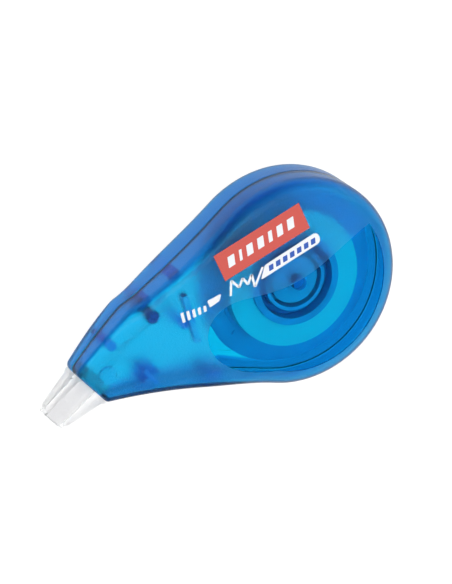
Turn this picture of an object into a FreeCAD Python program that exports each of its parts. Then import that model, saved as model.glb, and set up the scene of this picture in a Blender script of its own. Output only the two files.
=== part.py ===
"""Correction tape roller: two clear blue half shells around a pair of stacked reels.

Own frame: origin on the reel axis at the back face, +X along the body away from the applicator,
+Z out of the front face.  All sizes are in millimetres.
"""
import FreeCAD, Part
import math
import os
import Sketcher
from FreeCAD import Placement, Rotation, Vector

SHEET = "dimensions"

# Driving dimensions: every cell is a plain number.
DIMENSIONS = {
    # Body outline, seen from the front: tangent arcs given by radius and turn (positive is convex).
    "round_radius": 24.0,
    "upper_tangent_heading": 201.3,
    "lower_tangent_heading": 326.5,
    "flank_radius": 195.0,
    "flank_turn": -7.3,
    "grip_radius": 44.0,
    "grip_turn": -6.5,
    "knuckle_radius": 6.0,
    "knuckle_turn": 15.5,
    "snout_radius": 135.5,
    "snout_turn": 6.5,
    "nose_corner_radius": 1.5,
    "nose_heading": 291.9,
    "underside_heading": 345.5,
    # Body section.
    "parting_height": 7.6,
    "front_height": 8.0,
    "wall": 1.1,
    "face_wall": 1.3,
    "taper_start": 16.0,
    "taper_radius": 100.0,
    "taper_angle": 7.8,
    "front_round_fillet": 3.8,
    "back_round_fillet": 3.4,
    "nose_fillet": 1.2,
    "cavity_nose_fillet": 0.3,
    "fillet_start": -50.0,
    "fillet_power": 0.6,
    "cavity_fillet_start": -36.0,
    "parting_edge_fillet": 0.25,
    # Recessed clear window in the front shell.
    "window_radius": 20.3,
    "window_depth": 0.75,
    "window_start": 15.0,
    "window_end": 232.0,
    "window_slope_width": 2.2,
    "window_slope_height": 0.28,
    "window_floor_fillet": 10.0,
    # Axle and reels, stacked on the axis.
    "axle_radius": 3.0,
    "axle_bore_radius": 1.25,
    "axle_height": 10.5,
    "running_clearance": 0.06,
    "drum_bottom": 1.4,
    "drum_top": 5.7,
    "drum_radius": 18.0,
    "drum_wall": 1.0,
    "drum_flange_radius": 21.3,
    "drum_flange_thickness": 0.6,
    "drum_hub_radius": 4.6,
    "drum_hub_height": 10.4,
    "sleeve_outer_radius": 7.2,
    "sleeve_inner_radius": 6.4,
    "sleeve_height": 11.8,
    "liner_layer": 0.25,
    "core_inner_radius": 8.9,
    "core_outer_radius": 10.45,
    "core_bottom": 6.55,
    "core_top": 12.3,
    "core_flange_thickness": 0.4,
    "core_flange_radius": 16.6,
    "core_web_thickness": 0.65,
    "roll_outer_radius": 15.8,
    "washer_thickness": 0.15,
    "washer_inner_radius": 7.5,
    "washer_outer_radius": 15.0,
    "clutch_ring_radius": 0.8,
    "clutch_ring_height": 9.2,
    "cap_radius": 5.6,
    "cap_thickness": 0.7,
    "cap_stem_length": 3.0,
    "cap_stem_slack": 0.03,
    "cap_boss_radius": 2.6,
    "cap_boss_height": 0.5,
    "front_pin_radius": 1.6,
    "drive_tab_radius": 17.7,
    "drive_tab_angle": 207.0,
    "drive_tab_thickness": 1.0,
    "drive_tab_length": 2.6,
    "drive_tab_rise": 0.5,
    # Tape guides in the nose.
    "guide_pin_x": -33.15,
    "guide_pin_y": 9.7,
    "guide_core_radius": 1.3,
    "guide_flange_radius": 1.55,
    "guide_flange_thickness": 0.5,
    "guide_flange_gap": 0.15,
    "guide_bottom": 3.2,
    "guide_top": 12.4,
    "guide_boss_radius": 2.0,
    "guide_boss_top": 4.4,
    "cross_post_x": -38.5,
    "cross_post_y": -3.65,
    "cross_post_length": 4.7,
    "cross_post_thickness": 0.9,
    "cross_post_top": 11.0,
    "cross_post_turn": 20.0,
    "return_guide_x": -39.2,
    "return_guide_y": -0.4,
    "return_guide_height": 5.9,
    # Assembly posts, snap hooks and stiffening rib.
    "post_radius": 1.1,
    "middle_post_x": -27.0,
    "middle_post_y": 3.9,
    "middle_post_top": 11.4,
    "nose_post_x": -43.9,
    "nose_post_y": 7.9,
    "nose_post_top": 11.0,
    "root_gap": 0.4,
    "grip_latch_x": -33.1,
    "grip_latch_y": 12.95,
    "grip_latch_turn": 11.0,
    "flank_latch_x": -24.8,
    "flank_latch_y": 15.2,
    "flank_latch_turn": 17.0,
    "underside_latch_x": -24.6,
    "underside_latch_y": -11.1,
    "underside_latch_turn": -25.0,
    "nose_web_turn": 26.3,
    "nose_web_reach": 1.55,
    "nose_web_root": 2.5,
    "latch_length": 2.8,
    "latch_thickness": 1.0,
    "latch_top": 11.0,
    "ejector_reach": 4.6,
    "ejector_side": 0.4,
    "ejector_radius": 2.0,
    "rib_x": -25.75,
    "rib_y": 5.5,
    "rib_length": 11.8,
    "rib_thickness": 1.2,
    "rib_bottom": 11.7,
    "rib_turn": 85.0,
    # Applicator, in its own frame: x out of the nose, y across it, from the nose end's middle.
    "shank_length": 3.0,
    "head_shift": 0.185,
    "shank_low": -4.0,
    "shank_high": 2.6,
    "lug_depth": 0.5,
    "collar_low": -5.6,
    "collar_high": 5.2,
    "collar_thickness": 0.9,
    "rail_low": -5.2,
    "rail_high": 4.6,
    "rail_end": 10.0,
    "rail_end_low": -4.8,
    "rail_end_high": 2.6,
    "rail_end_chamfer": 0.5,
    "head_height": 7.8,
    "head_thickness": 4.4,
    "rail_end_thickness": 1.8,
    "channel_width": 4.6,
    "channel_middle": -0.9,
    "blade_thickness": 3.5,
    "blade_end": 10.5,
    "blade_edge_radius": 0.4,
    "bar_length": 7.0,
    "bar_middle": -1.1,
    # Tape.
    "tape_width": 4.2,
    "tape_thickness": 0.12,
    "tape_gap": 0.08,
    "tape_lift": 0.03,
    "tape_level_run": 12.5,
    "tape_bend_direction": 288.5,
    "tape_join": 0.3,
    "tape_lead": 1.2,
    # Printed label on the front face.
    "label_length": 22.4,
    "label_width": 6.8,
    "label_thickness": 0.06,
    "label_x": -5.0,
    "label_y": 14.5,
    "label_turn": 3.0,
}

# Plan points, mm, that the window's wavy upper edge passes, from right to left.
WINDOW_WAVE = ((12.0, 3.5), (4.0, 1.7), (-4.0, 1.6), (-11.5, 3.5), (-17.8, 4.7), (-22.6, 2.8),
               (-24.8, -2.0), (-23.4, -7.6), (-18.9, -12.4))


class Size:
    """A number together with the sheet expression that it comes from."""

    def __init__(self, number, text):
        self.number = number
        self.text = text

    def __add__(self, other):
        other = as_size(other)
        return Size(self.number + other.number, f"({self.text} + {other.text})")

    def __sub__(self, other):
        other = as_size(other)
        return Size(self.number - other.number, f"({self.text} - {other.text})")

    def __mul__(self, factor):
        return Size(self.number * factor, f"({self.text} * {factor})")

    def __neg__(self):
        return Size(-self.number, f"(-1 * {self.text})")


def as_size(value):
    return value if isinstance(value, Size) else Size(float(value), str(float(value)))


def size(name):
    return Size(DIMENSIONS[name], f"{SHEET}.{name}")


def bind(item, sizes):
    """Sets each property of item from a Size, as an expression on the sheet."""
    for path, value in sizes.items():
        item.setExpression(path, as_size(value).text)


def number(name):
    return DIMENSIONS[name]


def polar(radius, degrees):
    angle = math.radians(degrees)
    return Vector(radius * math.cos(angle), radius * math.sin(angle), 0)


# ---------------------------------------------------------------- sheet, bodies and sketches

def add_sheet(doc):
    sheet = doc.addObject("Spreadsheet::Sheet", SHEET)
    for row, (name, value) in enumerate(DIMENSIONS.items(), start=1):
        sheet.set(f"A{row}", name)
        sheet.set(f"B{row}", str(value))
        sheet.setAlias(f"B{row}", name)
    doc.recompute()


def origin_plane(body, role):
    return next(feature for feature in body.Origin.OriginFeatures if feature.Role == role)


def new_body(doc, name):
    return doc.addObject("PartDesign::Body", name)


def new_sketch(body, name, role="XY_Plane", height=None):
    sketch = body.newObject("Sketcher::SketchObject", name)
    sketch.AttachmentSupport = [(origin_plane(body, role), "")]
    sketch.MapMode = "FlatFace"
    if height is not None:
        bind(sketch, {"AttachmentOffset.Base.z": height})
    return sketch


def fix_point(sketch, index, axis, value):
    """Ties one coordinate of the start of a sketch edge to its Size."""
    kind, axis_id = ("DistanceX", -2) if axis == "x" else ("DistanceY", -1)
    if value.number == 0:
        sketch.addConstraint(Sketcher.Constraint("PointOnObject", index, 1, axis_id))
        return
    row = sketch.addConstraint(Sketcher.Constraint(kind, -1, 1, index, 1, value.number))
    sketch.setExpression(f"Constraints[{row}]", value.text)


def draw_polygon(sketch, corners):
    """Closed polygon whose corners are pairs of Sizes."""
    corners = [(as_size(x), as_size(y)) for x, y in corners]
    points = [Vector(x.number, y.number, 0) for x, y in corners]
    count = len(points)
    for i in range(count):
        sketch.addGeometry(Part.LineSegment(points[i], points[(i + 1) % count]), False)
    for i in range(count):
        sketch.addConstraint(Sketcher.Constraint("Coincident", i, 2, (i + 1) % count, 1))
    for i, (x, y) in enumerate(corners):
        fix_point(sketch, i, "x", x)
        fix_point(sketch, i, "y", y)


def shared_ends(sketch, first, second):
    """Which end of each of two sketch edges meets the other; 1 is a start and 2 an end."""
    pairs = [(2, 1), (2, 2), (1, 1), (1, 2)]
    return min(pairs, key=lambda ends: (sketch.getPoint(first, ends[0])
                                        - sketch.getPoint(second, ends[1])).Length)


def draw_wire(sketch, edges):
    """Closed run of lines and arcs, joined where they meet."""
    for edge in edges:
        sketch.addGeometry(edge, False)
    for i in range(len(edges)):
        following = (i + 1) % len(edges)
        end, start = shared_ends(sketch, i, following)
        sketch.addConstraint(Sketcher.Constraint("Coincident", i, end, following, start))


def pad(body, sketch, name, length, downward=False, midplane=False):
    feature = body.newObject("PartDesign::Pad", name)
    feature.Profile = sketch
    feature.Midplane = midplane
    feature.Reversed = downward
    bind(feature, {"Length": length})
    return feature


def turned_body(doc, name, corners):
    """Body of revolution about Z from a closed half section of (radius, height) corners."""
    body = new_body(doc, name)
    sketch = new_sketch(body, f"{name}_section", "XZ_Plane")
    draw_polygon(sketch, corners)
    turn = body.newObject("PartDesign::Revolution", f"{name}_turn")
    turn.Profile = sketch
    turn.ReferenceAxis = (sketch, ["V_Axis"])
    turn.Angle = 360.0
    return body


# ---------------------------------------------------------------- Part primitives and booleans

def add_cylinder(doc, name, radius, bottom, top, x, y):
    item = doc.addObject("Part::Cylinder", name)
    bind(item, {"Radius": radius, "Height": as_size(top) - bottom, "Placement.Base.x": x,
                "Placement.Base.y": y, "Placement.Base.z": bottom})
    return item


def add_block(doc, name, length, width, bottom, top, centre, turn=0.0):
    """Upright block centred on a plan point and turned about Z."""
    item = doc.addObject("Part::Box", name)
    bind(item, {"Length": length, "Width": width, "Height": as_size(top) - bottom})
    half = Vector(as_size(length).number / 2, as_size(width).number / 2, 0)
    rotation = Rotation(Vector(0, 0, 1), turn)
    corner = Vector(centre[0], centre[1], 0) - rotation.multVec(half)
    item.Placement = Placement(corner, rotation)
    bind(item, {"Placement.Base.z": bottom})
    return item


def fuse(doc, name, shapes):
    item = doc.addObject("Part::MultiFuse", name)
    item.Shapes = shapes
    return item


def cut(doc, name, base, tool):
    item = doc.addObject("Part::Cut", name)
    item.Base = base
    item.Tool = tool
    return item


# ---------------------------------------------------------------- case outline and half shells

def arc_step(start, end, radius):
    """Displacement along an arc between two headings; a negative radius turns right."""
    a = math.radians(start)
    b = math.radians(end)
    return Vector(radius * (math.sin(b) - math.sin(a)), radius * (math.cos(a) - math.cos(b)), 0)


def outline_arcs():
    """The case outline as (start heading, end heading, signed radius), counter-clockwise.

    A radius of None is one of the two unknowns that close the outline."""
    heading = number("upper_tangent_heading") + 360
    stops = [number("lower_tangent_heading"), 360, 540, heading]
    arcs = [(stops[i], stops[i + 1], number("round_radius")) for i in range(3)]
    for part in ("flank", "grip", "knuckle", "snout"):
        turn = number(f"{part}_turn")
        arcs.append((heading, heading + turn, math.copysign(number(f"{part}_radius"), turn)))
        heading += turn
    nose = number("nose_heading") + 360
    underside = number("underside_heading") + 360
    arcs.append((heading, nose, number("nose_corner_radius")))
    arcs.append((nose, nose, None))
    arcs.append((nose, underside, number("nose_corner_radius")))
    arcs.append((underside, number("lower_tangent_heading") + 360, None))
    return arcs


def outline_closure():
    """Length of the straight nose end and radius of the underside arc that close the outline."""
    arcs = outline_arcs()
    gap = Vector(0, 0, 0)
    for start, end, radius in arcs:
        if radius is not None:
            gap += arc_step(start, end, radius)
    along_nose = polar(1.0, number("nose_heading"))
    along_underside = arc_step(arcs[-1][0], arcs[-1][1], 1.0)
    scale = along_nose.x * along_underside.y - along_nose.y * along_underside.x
    nose_length = (gap.y * along_underside.x - gap.x * along_underside.y) / scale
    underside_radius = (along_nose.y * gap.x - along_nose.x * gap.y) / scale
    return nose_length, underside_radius


def case_outline(inset=0.0):
    """Edges of the case outline, moved inwards by inset."""
    nose_length, underside_radius = outline_closure()
    arcs = outline_arcs()
    point = polar(number("round_radius") - inset, arcs[0][0] - 90)
    edges = []
    for start, end, radius in arcs:
        if start == end:
            target = point + polar(nose_length, start)
            edges.append(Part.LineSegment(point, target))
        else:
            bend = (underside_radius if radius is None else radius) - inset
            middle = point + arc_step(start, (start + end) / 2, bend)
            target = point + arc_step(start, end, bend)
            edges.append(Part.Arc(point, middle, target))
        point = target
    return edges


def nose_middle():
    """Middle of the straight nose end, in plan."""
    nose = next(edge for edge in case_outline() if isinstance(edge, Part.LineSegment))
    return (nose.StartPoint + nose.EndPoint) * 0.5


def taper_section(level, away):
    """Side section of what the taper removes: flat, then an arc, then a straight slope.

    level is the height of the flat face and away is +1 to remove upwards or -1 downwards."""
    start = Vector(-number("taper_start"), level, 0)
    angle = math.radians(number("taper_angle"))
    radius = number("taper_radius")
    reach = 40.0
    margin = 6.0

    def on_arc(turn):
        return start + Vector(-radius * math.sin(turn), -away * radius * (1 - math.cos(turn)), 0)

    end = on_arc(angle)
    far = end + Vector(-reach * math.cos(angle), -away * reach * math.sin(angle), 0)
    far_top = Vector(far.x, level + away * margin, 0)
    start_top = Vector(start.x, level + away * margin, 0)
    return [Part.Arc(start, on_arc(angle / 2), end), Part.LineSegment(end, far),
            Part.LineSegment(far, far_top), Part.LineSegment(far_top, start_top),
            Part.LineSegment(start_top, start)]


def shoulder_radius(x, law):
    """Shoulder fillet radius at a place along the body: small at the nose, full past the axis."""
    nose_radius, round_radius, start, power = law
    growth = min(1.0, max(0.0, 1.0 - x / start))
    return nose_radius + (round_radius - nose_radius) * growth ** power


def half_prism(doc, name, away, height, inset):
    """Plain half of the case, from the parting plane to its flat and tapered face."""
    body = new_body(doc, name)
    plan = new_sketch(body, f"{name}_plan", "XY_Plane", size("parting_height"))
    draw_wire(plan, case_outline(inset.number))
    prism = pad(body, plan, f"{name}_pad", height, downward=away < 0)
    prism.Refine = False
    side = new_sketch(body, f"{name}_side", "XZ_Plane")
    draw_wire(side, taper_section(number("parting_height") + away * height.number, away))
    taper = body.newObject("PartDesign::Pocket", f"{name}_taper")
    taper.Profile = side
    taper.Midplane = True
    taper.Refine = False
    taper.Length = 4 * number("round_radius")
    doc.recompute()
    return body


def round_shoulder(doc, name, body, inset, law, parting_radius):
    """Fillet of growing radius round the outer rim, and a small one at the parting line."""
    outline = Part.Wire([edge.toShape() for edge in case_outline(inset.number)])
    parting = number("parting_height")
    rim = []
    for index, edge in enumerate(body.Shape.Edges, start=1):
        ends = [edge.valueAt(edge.FirstParameter), edge.valueAt(edge.LastParameter)]
        middle = edge.valueAt((edge.FirstParameter + edge.LastParameter) / 2)
        upright = math.hypot(ends[0].x - ends[1].x, ends[0].y - ends[1].y) < 1e-6
        foot = Part.Vertex(middle.x, middle.y, 0)
        if upright or foot.distToShape(outline)[0] > 1e-3:
            continue
        if abs(middle.z - parting) > 1e-6:
            rim.append((index, shoulder_radius(ends[0].x, law), shoulder_radius(ends[1].x, law)))
        elif parting_radius > 0:
            rim.append((index, parting_radius, parting_radius))
    rounded = doc.addObject("Part::Fillet", name)
    rounded.Base = body
    rounded.Edges = rim
    doc.recompute()
    return rounded


def hollow_half(doc, side, away, height, face_wall, round_fillet):
    """Outer solid and cavity of one half of the case."""
    flush = as_size(0.0)
    wall = size("wall")
    solid = half_prism(doc, f"{side}_outer", away, height, flush)
    law = (number("nose_fillet"), number(round_fillet), number("fillet_start"), number("fillet_power"))
    outer = round_shoulder(doc, f"{side}_outer_round", solid, flush, law,
                           number("parting_edge_fillet"))
    hollow = half_prism(doc, f"{side}_cavity", away, height - face_wall, wall)
    law = (number("cavity_nose_fillet"), number(round_fillet) - wall.number,
           number("cavity_fillet_start"), 1.0)
    cavity = round_shoulder(doc, f"{side}_cavity_round", hollow, wall, law, 0.0)
    return cut(doc, f"{side}_hollow", outer, cavity)


def taper_drop(x):
    """How far the tapered face has come in from the flat face at a place along the body."""
    reach = -number("taper_start") - x
    angle = math.radians(number("taper_angle"))
    radius = number("taper_radius")
    if reach <= 0:
        return 0.0
    if reach < radius * math.sin(angle):
        return radius - math.sqrt(radius ** 2 - reach ** 2)
    straight = reach - radius * math.sin(angle)
    return radius * (1 - math.cos(angle)) + straight * math.tan(angle)


def floor_root(x):
    """Height of the middle of the back wall, where a rib of the back shell starts."""
    return size("wall") * 0.5 + taper_drop(x)


def ceiling_root(x):
    """Height of the middle of the front wall, where a rib of the front shell starts."""
    return size("parting_height") + size("front_height") - size("face_wall") * 0.5 - taper_drop(x)


def nose_placement():
    """Frame of the applicator: x out of the nose, at the middle of the nose end."""
    middle = nose_middle() + polar(number("head_shift"), number("nose_heading"))
    return Placement(middle + Vector(0, 0, number("head_height")),
                     Rotation(Vector(0, 0, 1), number("nose_heading") - 90))


def nose_slot(doc, side):
    """Opening through the nose wall that the applicator's shank passes."""
    margin = 0.1
    half = size("head_thickness") * 0.5 + margin
    middle = nose_placement().multVec(Vector(0, (number("shank_high") + number("shank_low")) / 2, 0))
    return add_block(doc, f"{side}_nose_slot", 2 * size("shank_length").number,
                     size("shank_high") - size("shank_low") + 2 * margin,
                     size("head_height") - half, size("head_height") + half,
                     (middle.x, middle.y), number("nose_heading") - 90)


def add_latch(doc, name):
    """Snap hook that stands on the back shell's wall and reaches past the parting line."""
    x, y, turn = (number(f"{name}_{part}") for part in ("x", "y", "turn"))
    hook = add_block(doc, f"{name}_hook", size("latch_length"), size("latch_thickness"),
                     floor_root(x), size("latch_top"), (x, y), turn)
    outwards = Rotation(Vector(0, 0, 1), turn).multVec(Vector(0, math.copysign(0.5, y), 0))
    foot = add_block(doc, f"{name}_foot", size("latch_length"), size("latch_thickness") + 0.6,
                     floor_root(x) + 1.0, size("parting_height") - size("root_gap"),
                     (x + outwards.x, y + outwards.y), turn)
    return [hook, foot]


def back_shell_ribs(doc):
    """Axle, tape guides, posts and snap hooks that rise from the back shell's floor."""
    ribs = [add_cylinder(doc, "axle_post", size("axle_radius"), floor_root(0), size("axle_height"),
                         0, 0)]
    for name, radius, top in (("guide_pin", size("guide_boss_radius"), size("guide_boss_top")),
                              ("middle_post", size("post_radius"), size("middle_post_top")),
                              ("nose_post", size("post_radius"), size("nose_post_top"))):
        ribs.append(add_cylinder(doc, f"{name}_root", radius, floor_root(number(f"{name}_x")), top,
                                 size(f"{name}_x"), size(f"{name}_y")))
    cross = (number("cross_post_x"), number("cross_post_y"))
    for index in range(2):
        ribs.append(add_block(doc, f"cross_rib_{index + 1}", size("cross_post_length"),
                              size("cross_post_thickness"), floor_root(cross[0]),
                              size("cross_post_top"), cross, number("cross_post_turn") + 90 * index))
    low = size("parting_height") - size("root_gap")
    for part, top in (("reach", size("nose_post_top")), ("root", low)):
        reach = number(f"nose_web_{part}")
        out = Rotation(Vector(0, 0, 1), number("nose_web_turn")).multVec(Vector(0, reach / 2, 0))
        ribs.append(add_block(doc, f"nose_web_{part}", size("post_radius"), reach,
                              floor_root(number("nose_post_x")) + 1.0, top,
                              (number("nose_post_x") + out.x, number("nose_post_y") + out.y),
                              number("nose_web_turn")))
    for name in ("grip_latch", "flank_latch", "underside_latch"):
        ribs += add_latch(doc, name)
    return ribs


def build_back_shell(doc):
    hollow = hollow_half(doc, "back", -1, size("parting_height"), size("wall"), "back_round_fillet")
    solid = fuse(doc, "back_with_ribs", [hollow] + back_shell_ribs(doc))
    bore = add_cylinder(doc, "axle_bore", size("axle_bore_radius"),
                        size("axle_height") - size("cap_stem_length") - 0.5,
                        size("axle_height") + 1.0, 0, 0)
    socket = add_cylinder(doc, "guide_socket", size("guide_core_radius"), size("guide_bottom"),
                          size("guide_boss_top") + 1.0, size("guide_pin_x"), size("guide_pin_y"))
    openings = fuse(doc, "back_openings", [bore, socket, nose_slot(doc, "back")])
    return cut(doc, "back_shell", solid, openings)


def level_edges(shape, height):
    """Names of the edges that lie wholly at one height."""
    return [f"Edge{i}" for i, edge in enumerate(shape.Edges, start=1)
            if max(abs(edge.BoundBox.ZMin - height), abs(edge.BoundBox.ZMax - height)) < 0.01]


def window_recess(doc):
    """Tool for the recessed window: a wavy upper edge, then the shoulder's inner edge."""
    radius = number("window_radius")
    first = number("window_start")
    last = number("window_end")
    start = polar(radius, first)
    end = polar(radius, last)
    wave = Part.BSplineCurve()
    wave.interpolate([start] + [Vector(x, y, 0) for x, y in WINDOW_WAVE] + [end])
    body = new_body(doc, "window_recess")
    sketch = new_sketch(body, "window_plan", "XY_Plane",
                        size("parting_height") + size("front_height") - size("window_depth"))
    draw_wire(sketch, [wave, Part.Arc(end, polar(radius, (first + 360.0 + last) / 2), start)])
    plate = pad(body, sketch, "window_pad", size("face_wall") * 1.5)
    doc.recompute()
    slope = body.newObject("PartDesign::Chamfer", "window_slope")
    slope.Base = (plate, level_edges(plate.Shape, plate.Shape.BoundBox.ZMin))
    slope.ChamferType = "Two distances"
    slope.FlipDirection = True
    bind(slope, {"Size": size("window_slope_width"), "Size2": size("window_slope_height")})
    doc.recompute()
    rounding = body.newObject("PartDesign::Fillet", "window_floor")
    rounding.Base = (slope, level_edges(slope.Shape, slope.Shape.BoundBox.ZMin))
    bind(rounding, {"Radius": size("window_floor_fillet")})
    return body


def build_front_shell(doc):
    hollow = hollow_half(doc, "front", 1, size("front_height"), size("face_wall"),
                         "front_round_fillet")
    rib = (number("rib_x"), number("rib_y"))
    stiffener = add_block(doc, "stiffener", size("rib_length"), size("rib_thickness"),
                          size("rib_bottom"), ceiling_root(rib[0] + 0.5), rib, number("rib_turn"))
    pin = add_cylinder(doc, "front_pin", size("front_pin_radius"),
                       size("axle_height") + size("cap_thickness") + size("cap_boss_height") + 0.05,
                       ceiling_root(0), 0, 0)
    spot = nose_placement().multVec(Vector(-number("ejector_reach"), number("ejector_side"), 0))
    root = ceiling_root(spot.x)
    ejector = add_cylinder(doc, "ejector_mark", size("ejector_radius"), root - size("face_wall"),
                           root, spot.x, spot.y)
    solid = fuse(doc, "front_with_ribs", [hollow, stiffener, pin, ejector])
    openings = fuse(doc, "front_openings", [window_recess(doc), nose_slot(doc, "front")])
    return cut(doc, "front_shell", solid, openings)


# ---------------------------------------------------------------- reels

def build_take_up_drum(doc):
    bore = size("axle_radius") + size("running_clearance")
    low = size("drum_bottom")
    under = size("drum_top")
    top = under + size("drum_flange_thickness")
    inside = size("drum_radius") - size("drum_wall")
    body = turned_body(doc, "take_up_reel", [
        (bore, low), (size("drum_hub_radius"), low), (size("drum_hub_radius"), under),
        (inside, under), (inside, low), (size("drum_radius"), low), (size("drum_radius"), under),
        (size("drum_flange_radius"), under), (size("drum_flange_radius"), top),
        (size("sleeve_outer_radius"), top), (size("sleeve_outer_radius"), size("sleeve_height")),
        (size("sleeve_inner_radius"), size("sleeve_height")), (size("sleeve_inner_radius"), top),
        (size("drum_hub_radius"), top), (size("drum_hub_radius"), size("drum_hub_height")),
        (bore, size("drum_hub_height"))])
    spot = polar(number("drive_tab_radius"), number("drive_tab_angle"))
    tab = add_block(doc, "drive_tab", size("drive_tab_thickness"), size("drive_tab_length"),
                    top - size("drive_tab_rise") * 0.5, top + size("drive_tab_rise"),
                    (spot.x, spot.y), number("drive_tab_angle"))
    return fuse(doc, "take_up_drum", [body, tab])


def build_supply_core(doc):
    bore = size("sleeve_outer_radius") + size("running_clearance")
    low = size("core_bottom")
    flange = low + size("core_flange_thickness")
    web = low + size("core_web_thickness")
    return turned_body(doc, "supply_core", [
        (bore, low), (size("core_flange_radius"), low), (size("core_flange_radius"), flange),
        (size("core_outer_radius"), flange), (size("core_outer_radius"), size("core_top")),
        (size("core_inner_radius"), size("core_top")), (size("core_inner_radius"), web),
        (bore, web)])


def build_ring(doc, name, inner, outer, bottom, top):
    return turned_body(doc, name, [(inner, bottom), (outer, bottom), (outer, top), (inner, top)])


def build_clutch_ring(doc):
    ring = doc.addObject("Part::Torus", "clutch_ring")
    section = size("clutch_ring_radius")
    bind(ring, {"Radius1": size("sleeve_outer_radius") + section + size("tape_lift"),
                "Radius2": section, "Placement.Base.z": size("clutch_ring_height")})
    return ring


def build_reel_cap(doc):
    stem = size("axle_bore_radius") - size("cap_stem_slack")
    seat = size("axle_height")
    rim = seat + size("cap_thickness")
    crown = rim + size("cap_boss_height")
    return turned_body(doc, "reel_cap", [
        (0, seat - size("cap_stem_length")), (stem, seat - size("cap_stem_length")), (stem, seat),
        (size("cap_radius"), seat), (size("cap_radius"), rim), (size("cap_boss_radius"), rim),
        (size("cap_boss_radius"), crown), (0, crown)])


def build_guide_pin(doc):
    """Flanged pin that steers the tape from the roll towards the applicator."""
    core = size("guide_core_radius")
    flange = size("guide_flange_radius")
    thickness = size("guide_flange_thickness")
    tape_low = size("core_bottom") + size("core_flange_thickness") - size("guide_flange_gap")
    tape_high = tape_low + size("tape_width") + size("guide_flange_gap") * 2
    pin = turned_body(doc, "guide_pin", [
        (0, size("guide_bottom")), (core, size("guide_bottom")), (core, tape_low - thickness),
        (flange, tape_low - thickness), (flange, tape_low), (core, tape_low), (core, tape_high),
        (flange, tape_high), (flange, tape_high + thickness), (core, tape_high + thickness),
        (core, size("guide_top")), (0, size("guide_top"))])
    bind(pin, {"Placement.Base.x": size("guide_pin_x"), "Placement.Base.y": size("guide_pin_y")})
    return pin


# ---------------------------------------------------------------- applicator

def pocket_both_sides(body, name, corners, width, middle=None):
    """Cuts a side-view polygon, and its mirror image below, right across or over a set width."""
    for side, away in (("top", 1), ("bottom", -1)):
        sketch = new_sketch(body, f"{name}_{side}_section", "XZ_Plane")
        if middle is not None:
            bind(sketch, {"AttachmentOffset.Base.z": -middle})
        draw_polygon(sketch, [(x, z if away > 0 else -z) for x, z in corners])
        pocket = body.newObject("PartDesign::Pocket", f"{name}_{side}")
        pocket.Profile = sketch
        pocket.Midplane = True
        bind(pocket, {"Length": width})


def build_applicator(doc):
    body = new_body(doc, "applicator_head")
    chamfer = size("rail_end_chamfer")
    collar = size("collar_thickness")
    lug = size("lug_depth")
    wall = size("wall") + 0.1
    plan = new_sketch(body, "applicator_plan")
    draw_polygon(plan, [
        (-size("shank_length"), size("shank_low")), (0, size("shank_low")), (0, size("collar_low")),
        (collar, size("collar_low")), (collar, size("rail_low")),
        (size("rail_end") - chamfer, size("rail_end_low")),
        (size("rail_end"), size("rail_end_low") + chamfer),
        (size("rail_end"), size("rail_end_high") - chamfer),
        (size("rail_end") - chamfer, size("rail_end_high")), (collar, size("rail_high")),
        (collar, size("collar_high")), (0, size("collar_high")), (0, size("shank_high")),
        (-wall, size("shank_high")), (-wall, size("shank_high") + lug),
        (-size("shank_length"), size("shank_high") + lug)])
    pad(body, plan, "applicator_pad", size("head_thickness"), midplane=True)
    far = size("blade_end") + 3.0
    clear = size("head_thickness")
    pocket_both_sides(body, "rail_taper", [
        (collar, size("head_thickness") * 0.5), (size("rail_end"), size("rail_end_thickness") * 0.5),
        (far, size("rail_end_thickness") * 0.5), (far, clear), (collar, clear)],
        size("collar_high") * 4)
    pocket_both_sides(body, "tape_channel", [
        (-size("shank_length") - 1.0, size("blade_thickness") * 0.5),
        (0, size("blade_thickness") * 0.5), (size("blade_end"), size("blade_edge_radius")),
        (far, size("blade_edge_radius")), (far, clear), (-size("shank_length") - 1.0, clear)],
        size("channel_width"), size("channel_middle"))
    bar = new_sketch(body, "blade_bar_section", "XZ_Plane")
    bind(bar, {"AttachmentOffset.Base.z": -size("bar_middle")})
    edge = number("blade_edge_radius")
    end = number("blade_end")
    root = number("rail_end") - 0.4
    draw_wire(bar, [Part.LineSegment(Vector(root, -edge, 0), Vector(end, -edge, 0)),
                    Part.Arc(Vector(end, -edge, 0), Vector(end + edge, 0, 0), Vector(end, edge, 0)),
                    Part.LineSegment(Vector(end, edge, 0), Vector(root, edge, 0)),
                    Part.LineSegment(Vector(root, edge, 0), Vector(root, -edge, 0))])
    pad(body, bar, "blade_bar", size("bar_length"), midplane=True)
    body.Placement = nose_placement()
    return body


# ---------------------------------------------------------------- tape

def tangent_point(radius, outside, side):
    """Point where a line from a point outside touches a circle about the origin."""
    toward = math.degrees(math.atan2(outside.y, outside.x))
    spread = math.degrees(math.acos(radius / math.hypot(outside.x, outside.y)))
    return polar(radius, toward + side * spread)


def tape_section(centre, along, across):
    """Thin rectangle across the tape's path; across is the direction of the tape's width."""
    half_width = across * (number("tape_width") / 2)
    half_depth = along.cross(across).normalize() * (number("tape_thickness") / 2)
    corners = [centre + half_width + half_depth, centre - half_width + half_depth,
               centre - half_width - half_depth, centre + half_width - half_depth]
    return Part.makePolygon(corners + corners[:1])


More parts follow.
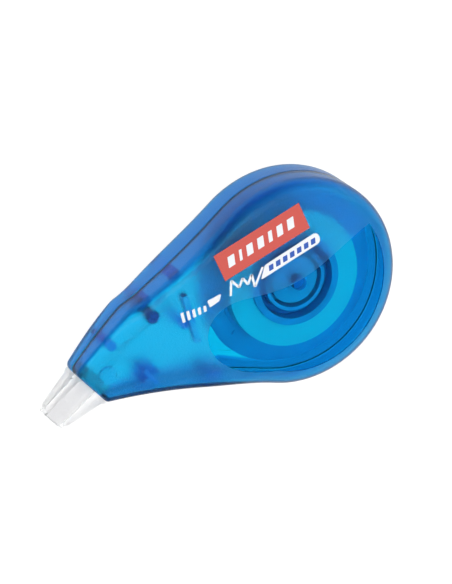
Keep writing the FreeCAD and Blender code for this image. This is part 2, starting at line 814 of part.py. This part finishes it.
def tape_run(doc, name, reel_point, guide_point, head_point):
    """Tape that stands upright from the reel to its guide, then turns flat into the applicator."""
    upright = Vector(0, 0, 1)
    flat = nose_placement().Rotation.multVec(Vector(0, -1, 0))
    inwards = nose_placement().Rotation.multVec(Vector(1, 0, 0))
    lead_point = head_point - inwards * number("tape_lead")
    first = (guide_point - reel_point).normalize()
    second = (lead_point - guide_point).normalize()
    level_end = reel_point + first * number("tape_level_run")
    level_end.z = reel_point.z
    sections = [tape_section(reel_point, first, upright), tape_section(level_end, first, upright),
                tape_section(guide_point, (first + second).normalize(), upright)]
    steps = 8
    for step in range(1, steps + 1):
        share = step / steps
        turn = math.radians(90 * share)
        along = (second * (1 - share ** 3) + inwards * share ** 3).normalize()
        across = upright * math.cos(turn) + flat * math.sin(turn)
        across = (across - along * across.dot(along)).normalize()
        point = guide_point + (lead_point - guide_point) * share
        sections.append(tape_section(point, along, across))
    sections.append(tape_section(head_point, inwards, flat))
    run = doc.addObject("Part::Feature", name)
    run.Shape = Part.makeLoft(sections, True, True)
    return run


def head_tape_point(height):
    """Middle of the tape where it enters the applicator, above or below its mid-plane."""
    return nose_placement().multVec(Vector(-number("shank_length") - number("tape_join"),
                                           number("channel_middle"), height))


def build_tape_runs(doc):
    half = number("tape_thickness") / 2
    gap = number("tape_gap")
    tape_middle = (number("core_bottom") + number("core_flange_thickness")
                   + number("tape_width") / 2 + gap)
    liner_middle = (number("drum_bottom") + number("drum_top")) / 2
    lift = number("blade_thickness") / 2 + number("tape_lift") + half
    pin = Vector(number("guide_pin_x"), number("guide_pin_y"), 0)
    guide = pin + polar(number("guide_core_radius") + gap + half, number("tape_bend_direction"))
    roll = tangent_point(number("roll_outer_radius") + gap + half, guide, -1)
    level = Vector(0, 0, tape_middle)
    supply = tape_run(doc, "tape_supply_run", roll + level, guide + level, head_tape_point(lift))
    turn = Vector(number("return_guide_x"), number("return_guide_y"), 0)
    drum = tangent_point(number("drum_radius") + number("liner_layer") + gap + half, turn, 1)
    back = tape_run(doc, "liner_return_run", drum + Vector(0, 0, liner_middle),
                    turn + Vector(0, 0, number("return_guide_height")), head_tape_point(-lift))
    return [supply, back]


def build_tip_loop(doc):
    """Tape over the applicator: down the upper ramp, round the blade's edge and back below."""
    body = new_body(doc, "tape_tip_loop")
    sketch = new_sketch(body, "tip_loop_section", "XZ_Plane")
    bind(sketch, {"AttachmentOffset.Base.z": -size("channel_middle")})
    start = -number("shank_length")
    end = number("blade_end")
    high = number("blade_thickness") / 2
    near = number("tape_lift")
    far = near + number("tape_thickness")

    def corners(offset):
        edge = number("blade_edge_radius") + offset
        return [Vector(start, high + offset, 0), Vector(0, high + offset, 0), Vector(end, edge, 0),
                Vector(end + edge, 0, 0), Vector(end, -edge, 0), Vector(0, -high - offset, 0),
                Vector(start, -high - offset, 0)]

    outer = corners(far)
    inner = corners(near)
    draw_wire(sketch, [
        Part.LineSegment(outer[0], outer[1]), Part.LineSegment(outer[1], outer[2]),
        Part.Arc(outer[2], outer[3], outer[4]), Part.LineSegment(outer[4], outer[5]),
        Part.LineSegment(outer[5], outer[6]), Part.LineSegment(outer[6], inner[6]),
        Part.LineSegment(inner[6], inner[5]), Part.LineSegment(inner[5], inner[4]),
        Part.Arc(inner[4], inner[3], inner[2]), Part.LineSegment(inner[2], inner[1]),
        Part.LineSegment(inner[1], inner[0]), Part.LineSegment(inner[0], outer[0])])
    pad(body, sketch, "tip_loop_pad", size("tape_width"), midplane=True)
    body.Placement = nose_placement()
    return body


# ---------------------------------------------------------------- whole object

def build_label(doc):
    face = size("parting_height") + size("front_height")
    return add_block(doc, "front_label", size("label_length"), size("label_width"), face,
                     face + size("label_thickness"), (number("label_x"), number("label_y")),
                     number("label_turn"))


def build_parts(doc):
    low = size("core_bottom") + size("core_flange_thickness")
    under = size("core_bottom") - size("washer_thickness")
    parts = {
        "back_shell": build_back_shell(doc),
        "front_shell": build_front_shell(doc),
        "front_label": build_label(doc),
        "applicator_head": build_applicator(doc),
        "guide_pin": build_guide_pin(doc),
        "reel_cap": build_reel_cap(doc),
        "take_up_drum": build_take_up_drum(doc),
        "liner_turns": build_ring(doc, "liner_turns", size("drum_radius"),
                                  size("drum_radius") + size("liner_layer"),
                                  size("drum_bottom") + 0.05, size("drum_top") - 0.05),
        "clutch_ring": build_clutch_ring(doc),
        "supply_core": build_supply_core(doc),
        "tape_roll": build_ring(doc, "tape_roll", size("core_outer_radius"),
                                size("roll_outer_radius"), low, low + size("tape_width")),
        "slip_washer": build_ring(doc, "slip_washer", size("washer_inner_radius"),
                                  size("washer_outer_radius"), under, size("core_bottom")),
        "tape_tip_loop": build_tip_loop(doc),
    }
    supply, back = build_tape_runs(doc)
    parts["tape_supply_run"] = supply
    parts["liner_return_run"] = back
    for name, item in parts.items():
        item.Label = name
    return parts


def check(doc, parts):
    """Stops with a message if any object failed or any sub-part is not a sound shape."""
    failed = [item.Label for item in doc.Objects
              if "Invalid" in item.State or "Error" in item.State]
    if failed:
        raise RuntimeError(f"objects failed to recompute: {failed}")
    for name, item in parts.items():
        if item.Shape.isNull() or not item.Shape.isValid() or not item.Shape.Solids:
            raise RuntimeError(f"{name} has no sound solid")


def main():
    doc = FreeCAD.newDocument("correction_tape_roller")
    add_sheet(doc)
    parts = build_parts(doc)
    doc.recompute()
    check(doc, parts)
    os.makedirs("parts", exist_ok=True)
    for name, item in parts.items():
        item.Shape.exportStep(f"parts/{name}.step")
        print(f"{name}: {len(item.Shape.Solids)} solid(s), {item.Shape.Volume:.1f} mm3")


main()
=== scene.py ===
import math

import bmesh
import bpy
from mathutils import Matrix, Vector
from mathutils.bvhtree import BVHTree


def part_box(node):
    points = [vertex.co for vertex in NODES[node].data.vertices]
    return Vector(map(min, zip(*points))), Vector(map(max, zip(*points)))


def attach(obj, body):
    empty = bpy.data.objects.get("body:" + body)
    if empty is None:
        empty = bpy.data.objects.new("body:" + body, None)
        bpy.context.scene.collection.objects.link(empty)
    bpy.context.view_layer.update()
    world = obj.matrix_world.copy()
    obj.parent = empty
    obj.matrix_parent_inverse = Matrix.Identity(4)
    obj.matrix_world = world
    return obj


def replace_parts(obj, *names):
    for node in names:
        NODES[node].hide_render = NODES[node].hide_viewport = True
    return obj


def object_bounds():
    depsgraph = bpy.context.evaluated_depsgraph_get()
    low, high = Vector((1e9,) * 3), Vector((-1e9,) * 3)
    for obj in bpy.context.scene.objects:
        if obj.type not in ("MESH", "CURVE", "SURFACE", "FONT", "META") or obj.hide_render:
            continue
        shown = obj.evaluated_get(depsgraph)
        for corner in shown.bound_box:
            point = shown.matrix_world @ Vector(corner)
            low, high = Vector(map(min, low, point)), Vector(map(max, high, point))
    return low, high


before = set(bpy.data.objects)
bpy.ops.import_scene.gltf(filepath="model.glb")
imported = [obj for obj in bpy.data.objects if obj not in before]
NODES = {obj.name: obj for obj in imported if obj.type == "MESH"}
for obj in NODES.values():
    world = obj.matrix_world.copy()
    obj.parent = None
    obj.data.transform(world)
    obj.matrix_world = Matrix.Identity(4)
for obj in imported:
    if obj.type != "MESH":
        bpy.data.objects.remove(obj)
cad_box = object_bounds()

MM = 0.001
FACE_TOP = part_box("front_shell")[1].z
CENTRE = (Vector(cad_box[0]) + Vector(cad_box[1])) / 2

# Heights and thicknesses of ink, and the gap under the case, in metres.
INK_THICKNESS = 0.00003
SECOND_INK_LIFT = 0.00004
SECOND_INK_THICKNESS = 0.000015
FLOOR_GAP = 0.00002

LABEL_TURN = math.radians(3.0)      # the red block's turn in plan
CREASE = math.radians(32.0)         # edges sharper than this bound the frosted outside
SAME_POINT = 1e-7                   # points closer than this are one, in metres
LEVEL = 0.999                       # z of the normal above which a face counts as level

# How far a clear wall faces up or down: painted shade tint below the first, face tint above the
# second.
UPRIGHT_BELOW = 0.45
LEVEL_ABOVE = 0.92

# What the blue plastic lets through, and how strongly it takes up the rest, per metre.
DEPTH_COLOUR = (0.0, 0.925, 0.985, 1.0)
DEPTH_DENSITY = 1500.0
CASE_IOR = 1.4
CASE_REFLECTION = (0.45, 0.75, 1.0)


# ------------------------------------------------------------------ node helpers


class Shader:
    """A material's node tree, with short ways to add and join nodes."""

    def __init__(self, name):
        self.material = bpy.data.materials.new(name)
        self.material.use_nodes = True
        self.tree = self.material.node_tree
        self.tree.nodes.clear()
        self.output = self.add("ShaderNodeOutputMaterial")

    def add(self, kind, **settings):
        node = self.tree.nodes.new(kind)
        for key, value in settings.items():
            setattr(node, key, value)
        return node

    def join(self, source, target):
        self.tree.links.new(source, target)

    def place(self):
        """Position in the piece's own coordinates."""
        return self.add("ShaderNodeTexCoord").outputs["Object"]

    def noise(self, scale, detail=3.0, roughness=0.55):
        node = self.add("ShaderNodeTexNoise")
        node.inputs["Scale"].default_value = scale
        node.inputs["Detail"].default_value = detail
        node.inputs["Roughness"].default_value = roughness
        self.join(self.place(), node.inputs["Vector"])
        return node.outputs["Fac"]

    def span(self, value, low, high):
        """Maps a 0 to 1 value onto low to high."""
        node = self.add("ShaderNodeMapRange")
        node.inputs["To Min"].default_value = low
        node.inputs["To Max"].default_value = high
        self.join(value, node.inputs["Value"])
        return node.outputs["Result"]

    def blend(self, factor, first, second):
        """Colour that goes from first to second as factor goes from 0 to 1."""
        node = self.add("ShaderNodeMix", data_type="RGBA")
        for socket, colour in ((node.inputs[6], first), (node.inputs[7], second)):
            socket.default_value = (*colour, 1.0)
        self.join(factor, node.inputs["Factor"])
        return node.outputs[2]

    def bump(self, height, distance, strength=None):
        """Surface normal roughened by height; distance is in metres."""
        node = self.add("ShaderNodeBump")
        node.inputs["Distance"].default_value = distance
        self.join(height, node.inputs["Height"])
        if strength is not None:
            self.join(strength, node.inputs["Strength"])
        return node.outputs["Normal"]

    def principled(self, **values):
        """Surface of the material; each value is a number, a colour or another node's output."""
        node = self.add("ShaderNodeBsdfPrincipled")
        for key, value in values.items():
            socket = node.inputs[key.replace("_", " ")]
            if isinstance(value, bpy.types.NodeSocket):
                self.join(value, socket)
            elif socket.type == "RGBA":
                socket.default_value = (*value, 1.0)
            else:
                socket.default_value = value
        self.join(node.outputs["BSDF"], self.output.inputs["Surface"])


# ------------------------------------------------------------------ materials

def clear_blue(name, smooth, frosted, grain, tint, upright_shade_tint):
    """Tinted clear polystyrene, coloured in its depth, with painted shade that darkens its upright
    walls.

    The mesh attribute frost says where its surface is frosted instead of smooth."""
    shader = Shader(name)
    # Base colour darkens as the wall turns upright: painted shade on the side walls.
    upright = shader.add("ShaderNodeSeparateXYZ")
    shader.join(shader.add("ShaderNodeTexCoord").outputs["Normal"], upright.inputs["Vector"])
    level = shader.add("ShaderNodeMath", operation="ABSOLUTE")
    shader.join(upright.outputs["Z"], level.inputs[0])
    flat = shader.add("ShaderNodeMapRange", interpolation_type="SMOOTHSTEP")
    flat.inputs["From Min"].default_value = UPRIGHT_BELOW
    flat.inputs["From Max"].default_value = LEVEL_ABOVE
    shader.join(level.outputs["Value"], flat.inputs["Value"])
    frost = shader.add("ShaderNodeAttribute", attribute_name="frost").outputs["Fac"]
    speckle = shader.noise(2600.0, detail=4.0, roughness=0.7)
    shader.principled(
        Base_Color=shader.blend(flat.outputs["Result"], upright_shade_tint, tint),
        Specular_Tint=CASE_REFLECTION, Transmission_Weight=1.0, IOR=CASE_IOR,
        Roughness=shader.span(frost, smooth, frosted), Normal=shader.bump(speckle, grain, frost))
    depth = shader.add("ShaderNodeVolumeAbsorption")
    depth.inputs["Color"].default_value = DEPTH_COLOUR
    depth.inputs["Density"].default_value = DEPTH_DENSITY
    shader.join(depth.outputs["Volume"], shader.output.inputs["Volume"])
    return shader.material


def moulded(name, colour, roughness=0.35):
    """Opaque moulded plastic with faint flow marks and a very slight orange peel."""
    shader = Shader(name)
    flow = shader.noise(180.0)
    darker = tuple(c * 0.88 for c in colour)
    shader.principled(
        Base_Color=shader.blend(flow, darker, colour),
        Roughness=shader.span(shader.noise(900.0), roughness * 0.8, roughness * 1.2),
        Normal=shader.bump(shader.noise(2500.0, detail=2.0), 0.00002))
    return shader.material


def wound_tape(name, colour, dark):
    """Edges of wound tape: fine rings about the axle."""
    shader = Shader(name)
    rings = shader.add("ShaderNodeTexWave", wave_type="RINGS", rings_direction="Z")
    rings.inputs["Scale"].default_value = 2600.0
    rings.inputs["Distortion"].default_value = 0.4
    rings.inputs["Detail"].default_value = 2.0
    shader.join(shader.place(), rings.inputs["Vector"])
    shader.principled(Base_Color=shader.blend(rings.outputs["Fac"], dark, colour), Roughness=0.6,
                      Normal=shader.bump(rings.outputs["Fac"], 0.00001))
    return shader.material


def printed(name, colour):
    """Screen-printed ink or film on the case."""
    shader = Shader(name)
    grain = shader.noise(3000.0, detail=4.0)
    darker = tuple(c * 0.93 for c in colour)
    shader.principled(Base_Color=shader.blend(grain, darker, colour), Roughness=0.42,
                      Normal=shader.bump(grain, 0.000008))
    return shader.material


def milky(name, colour, transmission, roughness, ior):
    """Natural, nearly clear moulded plastic."""
    shader = Shader(name)
    cloud = shader.noise(350.0)
    paler = tuple(min(1.0, c * 1.03) for c in colour)
    shader.principled(
        Base_Color=shader.blend(cloud, colour, paler), Transmission_Weight=transmission, IOR=ior,
        Roughness=shader.span(shader.noise(1500.0), roughness * 0.8, roughness * 1.2),
        Normal=shader.bump(shader.noise(2500.0), 0.00001))
    return shader.material


# The second colour, for upright walls, is painted shade.
CASE_BLUE = clear_blue("case_blue", smooth=0.03, frosted=0.29, grain=0.00012,
                       tint=(0.15, 0.80, 0.96), upright_shade_tint=(0.07, 0.34, 0.74))
INK_WHITE = printed("ink_white", (0.78, 0.80, 0.83))
INK_BLUE = printed("ink_blue", (0.02, 0.09, 0.42))


# ------------------------------------------------------------------ pieces

def new_piece(name, mesh, material, body="case"):
    """Adds a looks-only piece that rides on a body."""
    piece = bpy.data.objects.new(name, mesh)
    bpy.context.scene.collection.objects.link(piece)
    mesh.materials.append(material)
    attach(piece, body)
    return piece


def surface_of(node):
    """Search tree over the faces of a CAD node."""
    mesh = NODES[node].data
    return BVHTree.FromPolygons([v.co for v in mesh.vertices], [p.vertices for p in mesh.polygons])


FACE = surface_of("front_shell")
LABEL = surface_of("front_label")


def on_face(tree, x, y, lift):
    """Point on a front surface over a plan point given in millimetres."""
    hit = tree.ray_cast(Vector((x * MM, y * MM, 2 * FACE_TOP)), Vector((0, 0, -1)))[0]
    return hit + Vector((0, 0, lift))


def rounded(corners, radii, steps=7):
    """Outline of a polygon with its corners rounded; one radius for each corner."""
    outline = []
    count = len(corners)
    for i, radius in enumerate(radii):
        here = Vector(corners[i])
        before = (Vector(corners[i - 1]) - here).normalized()
        after = (Vector(corners[(i + 1) % count]) - here).normalized()
        half = before.angle(after) / 2
        reach = radius / math.tan(half)
        start = here + before * reach
        end = here + after * reach
        for step in range(steps + 1):
            t = step / steps
            a = start.lerp(here, t)
            b = here.lerp(end, t)
            outline.append(a.lerp(b, t))
    return outline


def add_decal(mesh, outline, tree, lift, thickness):
    """Adds one thin flat shape that lies on the front face, from a plan outline."""
    top = [mesh.verts.new(on_face(tree, x, y, lift + thickness)) for x, y in outline]
    low = [mesh.verts.new(on_face(tree, x, y, lift)) for x, y in outline]
    mesh.faces.new(top)
    mesh.faces.new(list(reversed(low)))
    for i in range(len(outline)):
        j = (i + 1) % len(outline)
        mesh.faces.new((low[i], low[j], top[j], top[i]))


def decal(name, outlines, material, lift=0.0, thickness=INK_THICKNESS, tree=FACE):
    """One printed piece: thin shapes of ink that lie on the front."""
    work = bmesh.new()
    for outline in outlines:
        add_decal(work, outline, tree, lift, thickness)
    bmesh.ops.recalc_face_normals(work, faces=work.faces)
    mesh = bpy.data.meshes.new(name)
    work.to_mesh(mesh)
    work.free()
    new_piece(name, mesh, material)


# ------------------------------------------------------------------ case

def smooth_region(seed, crease):
    """Faces reached from seed without crossing an edge sharper than crease."""
    found = {seed}
    queue = [seed]
    while queue:
        for edge in queue.pop().edges:
            if len(edge.link_faces) != 2 or edge.calc_face_angle() > crease:
                continue
            for face in edge.link_faces:
                if face not in found:
                    found.add(face)
                    queue.append(face)
    return found


def finished_shell(node, facing):
    """Copy of one half of the case that marks its outside as frosted.

    The outside is what joins its highest face, or its lowest if facing is -1, with no crease."""
    work = bmesh.new()
    work.from_mesh(NODES[node].data)
    bmesh.ops.remove_doubles(work, verts=work.verts, dist=SAME_POINT)
    frost = work.faces.layers.float.new("frost")
    seed = max((face for face in work.faces if face.normal.z * facing > LEVEL),
               key=lambda face: (round(facing * face.calc_center_median().z, 5), face.calc_area()))
    outside = smooth_region(seed, CREASE)
    for face in work.faces:
        face[frost] = float(face in outside)
        face.smooth = True
    for edge in work.edges:
        edge.smooth = len(edge.link_faces) == 2 and edge.calc_face_angle() < CREASE
    mesh = bpy.data.meshes.new(f"{node}_finish")
    work.to_mesh(mesh)
    work.free()
    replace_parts(new_piece(f"{node}_finish", mesh, CASE_BLUE), node)


def dress_case():
    finished_shell("front_shell", 1)
    finished_shell("back_shell", -1)


def dress_inside():
    """Gives every CAD node that stays visible its own finish."""
    looks = {
        "front_label": printed("label_red", (0.56, 0.080, 0.062)),
        "applicator_head": milky("tip_milky", (0.98, 0.985, 0.99), 0.8, 0.35, 1.3),
        "guide_pin": moulded("guide_blue", (0.03, 0.08, 0.40)),
        "reel_cap": moulded("cap_grey", (0.62, 0.55, 0.85)),
        "take_up_drum": moulded("drum_blue", (0.40, 0.52, 0.88)),
        "liner_turns": wound_tape("liner_turns_look", (0.55, 0.62, 0.72), (0.40, 0.46, 0.55)),
        "clutch_ring": moulded("clutch_violet", (0.16, 0.20, 0.50), 0.5),
        "supply_core": moulded("core_blue", (0.42, 0.48, 0.85)),
        "tape_roll": wound_tape("tape_white_look", (0.88, 0.90, 0.98), (0.82, 0.84, 0.93)),
        "slip_washer": moulded("washer_grey", (0.40, 0.44, 0.52), 0.25),
        "tape_tip_loop": milky("tape_at_tip_look", (0.95, 0.95, 0.96), 0.5, 0.4, 1.3),
        "tape_supply_run": milky("tape_run_look", (0.97, 0.98, 0.99), 0.95, 0.3, 1.08),
        "liner_return_run": milky("liner_run_look", (0.96, 0.98, 1.0), 1.0, 0.2, 1.06),
    }
    for name, material in looks.items():
        NODES[name].data.materials[0] = material


# ------------------------------------------------------------------ prints

def leaning(left, right, low, high, lean, radius=0.12):
    """Outline of a bar with leaning ends."""
    corners = [(left, low), (right, low), (right + lean, high), (left + lean, high)]
    return rounded(corners, [radius] * 4, 3)


def stroke(start, end, width):
    """Outline of a straight pen stroke with soft ends."""
    way = (Vector(end) - Vector(start)).normalized()
    side = Vector((-way.y, way.x)) * width / 2
    corners = [Vector(start) - side, Vector(end) - side, Vector(end) + side, Vector(start) + side]
    return rounded(corners, [width * 0.3] * 4, 3)


def on_label(outline):
    """Moves an outline from the label's own frame to the plan."""
    low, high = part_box("front_label")
    c = math.cos(LABEL_TURN)
    s = math.sin(LABEL_TURN)
    x = (low[0] + high[0]) / 2 / MM
    y = (low[1] + high[1]) / 2 / MM
    return [(x + p[0] * c - p[1] * s, y + p[0] * s + p[1] * c) for p in outline]


def add_prints():
    """Plain shapes printed on the front, in plan millimetres; no lettering."""
    pill = rounded([(-8.4, 6.35), (7.75, 7.2), (7.6, 10.0), (-6.3, 9.1)], [0.25, 1.38, 1.38, 0.5])
    decal("print_pill", [pill], INK_WHITE)
    dashes = [leaning(-5.9 + 1.85 * i, -4.75 + 1.85 * i, 7.2 + 0.075 * i, 8.5 + 0.075 * i, 0.35)
              for i in range(7)]
    decal("print_pill_dashes", dashes, INK_BLUE, lift=SECOND_INK_LIFT,
          thickness=SECOND_INK_THICKNESS)
    zigzag = [(-16.1, 6.6), (-14.7, 9.9), (-13.6, 7.4), (-12.1, 9.0), (-11.5, 7.0), (-9.9, 8.7),
              (-10.2, 5.6), (-6.9, 9.0)]
    strokes = [stroke(a, b, 0.55) for a, b in zip(zigzag, zigzag[1:])]
    decal("print_zigzag", strokes, INK_WHITE)
    ticks = [leaning(-28.2 + 1.3 * i, -27.5 + 1.3 * i, 6.2, 8.6 - 0.25 * i, 0.3) for i in range(5)]
    ticks.append(rounded([(-21.4, 6.6), (-18.9, 6.9), (-17.9, 8.3), (-21.4, 8.35)], [0.1] * 4, 2))
    decal("print_ticks", ticks, INK_WHITE)
    widths = (1.7, 0.7, 1.6, 1.6, 1.0, 1.5, 1.7)
    left = -9.2
    blocks = []
    for width in widths:
        blocks.append(on_label(leaning(left, left + width, -1.15, 1.35, 0.7)))
        left += width + 1.25
    decal("print_label_blocks", blocks, INK_WHITE, tree=LABEL)


# ------------------------------------------------------------------ stage

def add_floor():
    """White floor that glows, in place of a bright surround."""
    mesh = bpy.data.meshes.new("floor")
    work = bmesh.new()
    bmesh.ops.create_circle(work, cap_ends=True, segments=96, radius=3.0)
    work.to_mesh(mesh)
    work.free()
    floor = bpy.data.objects.new("floor", mesh)
    bpy.context.scene.collection.objects.link(floor)
    floor.location.z = cad_box[0][2] - FLOOR_GAP
    shader = Shader("floor_white")
    shader.principled(Base_Color=(0.06, 0.06, 0.06), Roughness=0.9,
                      Emission_Color=(1.0, 1.0, 1.0), Emission_Strength=1.0)
    mesh.materials.append(shader.material)


def add_area(name, azimuth, elevation, distance, size, power):
    """White softbox aimed at the part; azimuth is from +X, and size and distance are in metres."""
    light = bpy.data.lights.new(name, "AREA")
    light.shape = "RECTANGLE"
    light.size, light.size_y = size
    light.energy = power
    item = bpy.data.objects.new(name, light)
    bpy.context.scene.collection.objects.link(item)
    a = math.radians(azimuth)
    e = math.radians(elevation)
    way = Vector((math.cos(a) * math.cos(e), math.sin(a) * math.cos(e), math.sin(e)))
    item.location = CENTRE + way * distance
    item.rotation_euler = way.to_track_quat("Z", "Y").to_euler()


def add_lights():
    add_area("key_softbox", 120.0, 81.0, 0.9, (0.42, 0.42), 6.4)
    add_area("side_softbox", 10.0, 35.0, 0.9, (0.5, 0.4), 2.4)
    add_area("back_softbox", 296.0, 29.0, 1.0, (0.9, 0.36), 4.4)
    world = bpy.data.worlds.new("studio")
    bpy.context.scene.world = world
    world.use_nodes = True
    world.node_tree.nodes["Background"].inputs["Color"].default_value = (1, 1, 1, 1)
    world.node_tree.nodes["Background"].inputs["Strength"].default_value = 0.15


def add_camera():
    """A long lens, looking steeply down on the front face from the grip side, and rolled."""
    azimuth = math.radians(116.25)
    elevation = math.radians(57.7)
    roll = math.radians(127.7)
    lens = 250.0
    sensor = 36.0
    seen_width = 100.4 * MM
    back = Vector((math.cos(azimuth) * math.cos(elevation),
                   math.sin(azimuth) * math.cos(elevation), math.sin(elevation)))
    level = Vector((-math.sin(azimuth), math.cos(azimuth), 0.0))
    upright = back.cross(level)
    right = level * math.cos(roll) + upright * math.sin(roll)
    up = back.cross(right)
    camera = bpy.data.cameras.new("camera")
    camera.lens = lens
    camera.sensor_fit = "HORIZONTAL"
    camera.sensor_width = sensor
    camera.clip_start = 0.01
    item = bpy.data.objects.new("camera", camera)
    bpy.context.scene.collection.objects.link(item)
    aim = CENTRE + Vector((6.4, 1.1, -4.5)) * MM
    place = aim + back * (seen_width * lens / sensor)
    item.matrix_world = Matrix.Translation(place) @ Matrix((right, up, back)).transposed().to_4x4()
    bpy.context.scene.camera = item


bpy.context.scene.view_settings.view_transform = "Standard"
dress_case()
dress_inside()
add_prints()
add_floor()
add_lights()
add_camera()
